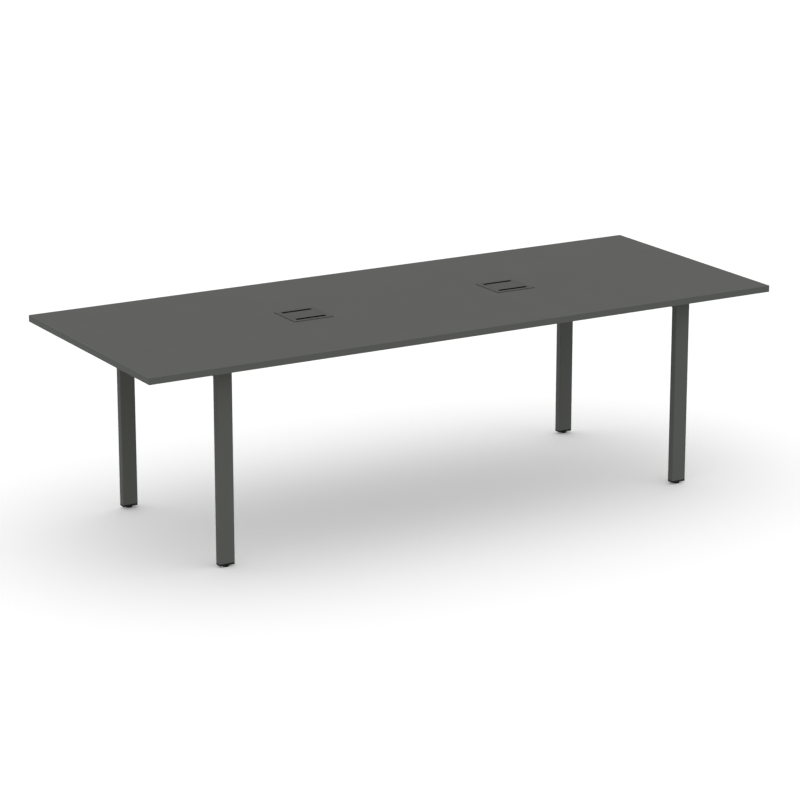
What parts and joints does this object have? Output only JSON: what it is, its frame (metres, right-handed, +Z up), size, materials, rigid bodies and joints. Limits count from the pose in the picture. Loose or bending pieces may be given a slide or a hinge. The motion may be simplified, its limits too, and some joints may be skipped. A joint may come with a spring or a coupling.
{
  "type": "conference table",
  "caption": "Long rectangular meeting table: grey edge-banded top with lidded cable ports, on rectangular steel legs with screw-in levelling feet.",
  "frame": {"origin": "on the floor, under the middle of the table", "axes": "+X along the table, +Y across it from the front to the rear, +Z up"},
  "size_m": [2.6, 1, 0.7597],
  "materials": {
    "laminate": "matt grey laminate on chipboard",
    "edging": "satin grey plastic edging",
    "painted_steel": "satin grey powder coat",
    "port_paint": "satin grey powder coat",
    "black_plastic": "matt black moulding",
    "sheet_steel": "matt black powder coat",
    "zinc_steel": "bright zinc plate"
  },
  "bodies": {
    "table": {"tabletop_panel": "laminate", "edge_band_front": "edging", "edge_band_rear": "edging", "edge_band_left": "edging", "edge_band_right": "edging", "leg_front_left": "painted_steel", "leg_front_right": "painted_steel", "leg_rear_left": "painted_steel", "leg_rear_right": "painted_steel", "end_cap_front_left": "black_plastic", "end_cap_front_right": "black_plastic", "end_cap_rear_left": "black_plastic", "end_cap_rear_right": "black_plastic", "foot_nut_front_left": "zinc_steel", "foot_nut_front_right": "zinc_steel", "foot_nut_rear_left": "zinc_steel", "foot_nut_rear_right": "zinc_steel", "cross_rail_left": "painted_steel", "cross_rail_right": "painted_steel", "rail_screw_left_a": "zinc_steel", "rail_screw_left_b": "zinc_steel", "rail_screw_right_a": "zinc_steel", "rail_screw_right_b": "zinc_steel", "long_beam_front": "painted_steel", "long_beam_rear": "painted_steel", "beam_bolt_front_a": "zinc_steel", "beam_bolt_front_b": "zinc_steel", "beam_bolt_rear_a": "zinc_steel", "beam_bolt_rear_b": "zinc_steel", "beam_screw_front_a": "zinc_steel", "beam_screw_front_b": "zinc_steel", "beam_screw_rear_a": "zinc_steel", "beam_screw_rear_b": "zinc_steel", "port_bezel_left": "port_paint", "port_bezel_right": "port_paint", "port_collar_left": "black_plastic", "port_collar_right": "black_plastic", "hinge_pin_left_a": "zinc_steel", "hinge_pin_left_b": "zinc_steel", "hinge_pin_right_a": "zinc_steel", "hinge_pin_right_b": "zinc_steel", "port_box_left": "sheet_steel", "port_box_right": "sheet_steel", "socket_block_left": "black_plastic", "socket_block_right": "black_plastic", "box_screw_left_a": "zinc_steel", "box_screw_left_b": "zinc_steel", "box_screw_right_a": "zinc_steel", "box_screw_right_b": "zinc_steel"},
    "lid_left": {"port_lid_left": "port_paint"},
    "lid_right": {"port_lid_right": "port_paint"},
    "foot_front_left": {"foot_pad_front_left": "black_plastic", "foot_stud_front_left": "zinc_steel"},
    "foot_front_right": {"foot_pad_front_right": "black_plastic", "foot_stud_front_right": "zinc_steel"},
    "foot_rear_left": {"foot_pad_rear_left": "black_plastic", "foot_stud_rear_left": "zinc_steel"},
    "foot_rear_right": {"foot_pad_rear_right": "black_plastic", "foot_stud_rear_right": "zinc_steel"}
  },
  "joints": [
    {"name": "lid_left_hinge", "type": "hinge", "parent": "table", "child": "lid_left", "pos_m": [-0.433, 0.035, 0.7537], "axis": [-1, 0, 0], "range_deg": [0, 100]},
    {"name": "lid_right_hinge", "type": "hinge", "parent": "table", "child": "lid_right", "pos_m": [0.433, 0.035, 0.7537], "axis": [-1, 0, 0], "range_deg": [0, 100]},
    {"name": "foot_front_left_level", "type": "slide", "parent": "table", "child": "foot_front_left", "axis": [0, 0, -1], "range_m": [0, 0.012]},
    {"name": "foot_front_right_level", "type": "slide", "parent": "table", "child": "foot_front_right", "axis": [0, 0, -1], "range_m": [0, 0.012]},
    {"name": "foot_rear_left_level", "type": "slide", "parent": "table", "child": "foot_rear_left", "axis": [0, 0, -1], "range_m": [0, 0.012]},
    {"name": "foot_rear_right_level", "type": "slide", "parent": "table", "child": "foot_rear_right", "axis": [0, 0, -1], "range_m": [0, 0.012]}
  ]
}
